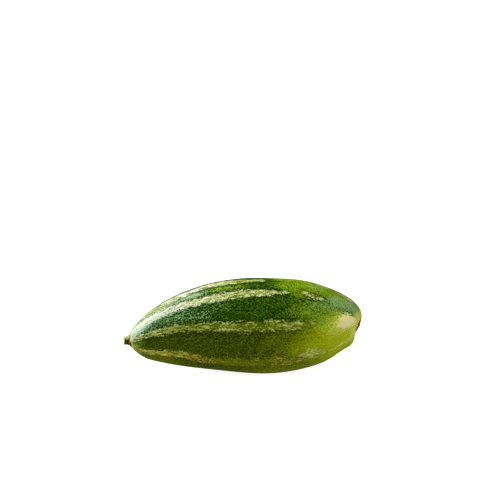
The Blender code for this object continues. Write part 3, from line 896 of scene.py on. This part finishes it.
stubForm = {
    "length": 2.8 * mm,
    "radius": 1.56 * mm,
    "bend": 0.10 * mm,
    "cone": 0.55 * mm,  # how much it swells out on top, halfway along
    "conePowers": (1.5, 0.7),
    "shank": 0.97,  # share of the length, the slant makes up the rest
    "slant": 0.25 * mm,
    "slantPower": 4,
    "furrows": 5,
    "furrowDepth": 0.12,
    "furrowRate": 4.0,  # furrows and fibres grow over the first 1 / this of the length
    "fibre": 0.03,
    "fibreWaves": (21, 18, 30, 3.0),  # seed, count, most round, most along
    "tear": 0.05,
    "tearWaves": (22, 12, 17, 1.0),
    "tearRate": 5.0,  # tears grow over the last 1 / this of the length
    "inset": 0.04,
    "footReach": 0.42,  # share of the length over which the neck's outline turns into the round shank
    "footShare": 1.34,  # the widest share of the radius in the outline
    "rootRate": 20.0,  # the foot ends in the neck over 1 / this of the length
    # shares of the radius and of the length, from the root in the fruit over the foot to the pith
    "outline": ((0.58, -0.20), (0.70, -0.04), (1.30, 0.00), (1.34, 0.06), (1.18, 0.22),
                (1.04, 0.42), (0.97, 0.62), (0.99, 0.82), (1.02, 0.93), (0.97, 0.985),
                (0.80, 0.975), (0.60, 0.86), (0.30, 0.74)),
    "rows": 130,
    "sides": 160,
}


smoothedPart = 18  # the sliding mean reaches 1 / this of an outline to both sides


# Points spaced evenly along a line through the outline's own points, smoothed by a short sliding mean
def alongOutline(outline, count):
    r, h = np.array(outline).T
    length = np.concatenate([[0.0], np.cumsum(np.hypot(np.diff(r), np.diff(h)))])
    t = np.linspace(0.0, length[-1], count)
    half = count // smoothedPart
    kernel = np.hanning(2 * half + 1)
    kernel /= kernel.sum()

    def smooth(values):
        line = np.interp(t, length, values)
        padded = np.concatenate([np.full(half, line[0]), line, np.full(half, line[-1])])
        return np.convolve(padded, kernel, mode="valid")

    return smooth(r), smooth(h)


# Points of a piece at an end of the fruit: ringCentre + sink out + x back + y across + z out, with the axes
# of the ring there
def standAt(v, outwards, sink, x, y, z):
    front, along = (axis[0] for axis in ringAxes(np.array([v]))[1:])
    out, back = outwards * along, -front
    middle = ringCentre(np.array([v]))[0] + sink * out
    return middle + x[..., None] * back + y[..., None] * np.cross(out, back) + z[..., None] * out


# A piece's outline in rows, as distance from the middle, height and share of its length, and angles across
def outlineGrid(form):
    r, h = alongOutline(form["outline"], form["rows"])
    share = np.linspace(0.0, 1.0, form["rows"])
    angle = np.linspace(0.0, turn, form["sides"], endpoint=False)
    return r[:, None], h[:, None], share[:, None], angle[None, :]


# Local x, y, z = r cos(angle), r sin(angle) - bend h^2, h + slant h^4 cos(angle). The shank's r is furrowed
# and swells on top by cone sin^1.5 (4 h (1 - h))^0.7. Its foot is widened to the neck's own outline, which
# the shank leaves as (1 - h / reach)^2.
def makeStub():
    f = stubForm
    r, h, share, angle = outlineGrid(f)
    outside = np.clip(h, 0.0, 1.0)
    begun = np.clip(outside * f["furrowRate"], 0.0, 1.0)
    furrow = f["furrowDepth"] * begun * (0.5 + 0.5 * np.cos(f["furrows"] * angle))
    fibres = f["fibre"] * waves(f["fibreWaves"], angle, h) * begun
    shank = f["radius"] * (1.0 - furrow + fibres - f["inset"])
    upper = np.clip(-np.sin(angle), 0.0, 1.0)
    halfway = np.clip(4.0 * outside * (1.0 - outside), 0.0, 1.0)
    cone = f["cone"] * upper ** f["conePowers"][0] * halfway ** f["conePowers"][1]
    collar = fruitForm["collarRadius"] + skinHeight(np.full_like(angle, -1.0), angle + math.pi)
    neck = np.maximum(fruitForm["neckShare"] * collar / f["footShare"], shank)
    foot = np.clip(1.0 - outside / f["footReach"], 0.0, 1.0) ** 2
    foot = foot * np.clip(1.0 + f["rootRate"] * h, 0.0, 1.0)
    radius = r * (shank + (neck - shank) * foot + cone)

    atRim = np.clip(outside * f["tearRate"] - (f["tearRate"] - 1.0), 0.0, 1.0)
    torn = f["tear"] * f["length"] * waves(f["tearWaves"], angle, h) * atRim
    slant = f["slant"] * outside ** f["slantPower"] * np.cos(angle)
    z = f["length"] * h * f["shank"] + slant + np.minimum(torn, 0.0)
    x, y = radius * np.cos(angle), radius * np.sin(angle) - f["bend"] * outside**2
    points = standAt(-1.0, -1.0, fruitForm["neckLength"], x, y, z)
    attributes = {"alongStub": h, "outlineShare": share, "litUpperSide": -np.sin(angle)}
    return ringMesh("stalkStub", points, attributes, stubMaterial())


stubLook = {
    # the pale top is painted light and the dark underside painted shade, partly the dried stalk's own dark
    # colour
    "pale": (0.28, 0.31, 0.14),
    "darkShadedUnderside": (0.026, 0.032, 0.001),
    "brown": (0.20, 0.090, 0.018),
    "litRimStraw": (0.50, 0.48, 0.20),
    "specular": 0.2,
    "bumpDistance": 0.05 * mm,
    "bumpStrength": 0.9,
    # waves in a metre, the share of them along X, detail and roughness
    "noises": {"fibre": (5200.0, 0.25, 3.0, 0.6), "blotch": (1500.0, 1.0, 3.0, 0.6)},
    "wobble": {"upper": {"blotch": 0.9}, "foot": {"blotch": 0.2}, "rim": {"blotch": 0.12}},
    "fades": {
        "pale": (0.55, 0.80),
        "foot": (0.22, 0.05, 0.0, 0.7),
        "footSide": (0.75, 0.45),
        "litRimStraw": (-0.10, 0.35),
        "rim": (0.74, 0.82),
        "pith": (0.88, 0.94),
        "fibre": (0.52, 0.75, 0.0, 0.5),
        "roughness": (0.3, 0.7, 0.65, 0.9),
    },
}


# Pale above as painted light and dark below as painted shade, deepened by the dried stalk's own colour, with
# a brown foot, rim and fibres
def stubMaterial():
    look, fades, wobble = stubLook, stubLook["fades"], stubLook["wobble"]
    material, tree, shader = newMaterial("driedStalk", look["specular"])
    place = addNode(tree, "ShaderNodeTexCoord", {}).outputs["Object"]
    noises = noisesOf(tree, place, look["noises"])
    along = attributeOf(tree, "alongStub")
    share = attributeOf(tree, "outlineShare")
    # how far a side faces up, which sets painted light on top and painted shade beneath
    upper = wobbled(tree, attributeOf(tree, "litUpperSide"), noises, wobble["upper"])
    foot = fade(tree, wobbled(tree, along, noises, wobble["foot"]), fades["foot"])
    rim = fade(tree, wobbled(tree, along, noises, wobble["rim"]), fades["rim"])
    # the cut rim is straw on top and brown beneath, its paleness on top painted light
    rimColour = blend(tree, fade(tree, upper, fades["litRimStraw"]), look["brown"], look["litRimStraw"])
    colour = blend(tree, fade(tree, upper, fades["pale"]), look["darkShadedUnderside"], look["pale"])
    colour = blend(tree, product(tree, foot, fade(tree, upper, fades["footSide"])), colour, look["brown"])
    colour = blend(tree, rim, colour, rimColour)
    colour = blend(tree, fade(tree, share, fades["pith"]), colour, look["brown"])
    colour = blend(tree, fade(tree, noises["fibre"], fades["fibre"]), colour, look["brown"])
    dress(tree, shader, look, colour, noises["blotch"], noises["fibre"])
    return material


# The blossom scar

scarForm = {
    "seatDip": 0.50 * mm,  # its foot lies this deep under the plane of the seat
    "lobes": 5,
    "lobeDepth": 0.08,
    "outerRadius": 2.7,  # mm, lobes, lumps and tears grow up to here
    "lump": 0.10,
    "lumpWaves": (31, 16, 24, 2.0),  # seed, count, most round, most along
    "tear": 0.50,
    "tearWaves": (32, 14, 19, 1.5),
    "tearLevel": 0.6,  # only where the waves are under it is the rim torn
    "tearDepth": 0.75,
    # distance from the middle in mm, height in mm, from the edge under the skin to the withered foot
    "outline": ((2.50, -0.20), (2.92, 0.20), (2.94, 0.62), (2.60, 0.90), (2.10, 0.88), (1.65, 0.62),
                (1.30, 0.42), (0.95, 0.40), (0.70, 0.62), (0.66, 0.90), (0.56, 1.06), (0.30, 1.10)),
    "rows": 120,
    "sides": 200,
}


# Local x, y, z = r cos(angle), r sin(angle), h, with r lobed and lumpy and h torn along the rim, all of
# which grows outwards as (r / outer radius)^2
def makeScar():
    f = scarForm
    r, h, share, angle = outlineGrid(f)
    lobe = f["lobeDepth"] * (0.5 + 0.5 * np.cos(f["lobes"] * angle))
    outer = np.clip(r / f["outerRadius"], 0.0, 1.0) ** 2
    lumps = f["lump"] * waves(f["lumpWaves"], angle, h)
    radius = r * mm * (1.0 - lobe * outer + lumps * outer - f["lump"])
    tears = f["tear"] * (waves(f["tearWaves"], angle, r) - f["tearLevel"]) * outer
    z = (h + np.clip(tears, -f["tearDepth"], 0.0) * np.clip(h, 0.0, 1.0)) * mm
    x, y = radius * np.cos(angle), radius * np.sin(angle)
    points = standAt(placeOfRadius(fruitForm["seatRadius"]), 1.0, -f["seatDip"], x, y, z)
    return ringMesh("blossomScar", points, {"outlineShare": share}, scarMaterial())


scarLook = {
    "rim": (0.48, 0.165, 0.050),
    "tan": (0.56, 0.29, 0.11),
    "hollow": (0.030, 0.026, 0.008),
    "foot": (0.20, 0.13, 0.06),
    "specular": 0.2,
    "bumpDistance": 0.08 * mm,
    "bumpStrength": 1.0,
    # waves in a metre, the share of them along X, detail and roughness
    "noises": {
        "cork": (3800.0, 1.0, 4.0, 0.65),
        "blotch": (1100.0, 1.0, 3.0, 0.6),
        "gaps": (1700.0, 1.0, 2.0, 0.5),
    },
    "wobble": {"gaps": {"cork": 0.5}},
    "fades": {
        "tan": (0.4, 0.6),
        "hollow": (0.42, 0.55),
        "foot": (0.70, 0.78),
        "gaps": (0.52, 0.58, 0.0, 0.95),
        "roughness": (0.3, 0.7, 0.7, 0.95),
    },
}


# Cork round the edge, then the dark hollow, and the foot in the middle
def scarMaterial():
    look, fades = scarLook, scarLook["fades"]
    material, tree, shader = newMaterial("corkyScar", look["specular"])
    place = addNode(tree, "ShaderNodeTexCoord", {}).outputs["Object"]
    noises = noisesOf(tree, place, look["noises"])
    share = attributeOf(tree, "outlineShare")
    gaps = wobbled(tree, noises["gaps"], noises, look["wobble"]["gaps"])
    colour = blend(tree, fade(tree, noises["blotch"], fades["tan"]), look["rim"], look["tan"])
    colour = blend(tree, fade(tree, share, fades["hollow"]), colour, look["hollow"])
    colour = blend(tree, fade(tree, share, fades["foot"]), colour, look["foot"])
    colour = blend(tree, fade(tree, gaps, fades["gaps"]), colour, look["hollow"])
    dress(tree, shader, look, colour, noises["cork"], noises["cork"])
    return material


aimCamera(fruitForm["bellyCentre"])
makeStudio()
print("camera, floor and light are in place")

for makePiece, node, slot in (
    (makeFruit, "fruit", "skin"),
    (makeStub, "stem_stub", "dry_stalk"),
    (makeScar, "blossom_scar", "corky_scar"),
):
    piece = makePiece()
    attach(piece, "root")
    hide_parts(node)
    print(piece.name, "stands for", node, "with", len(piece.data.polygons), "faces")
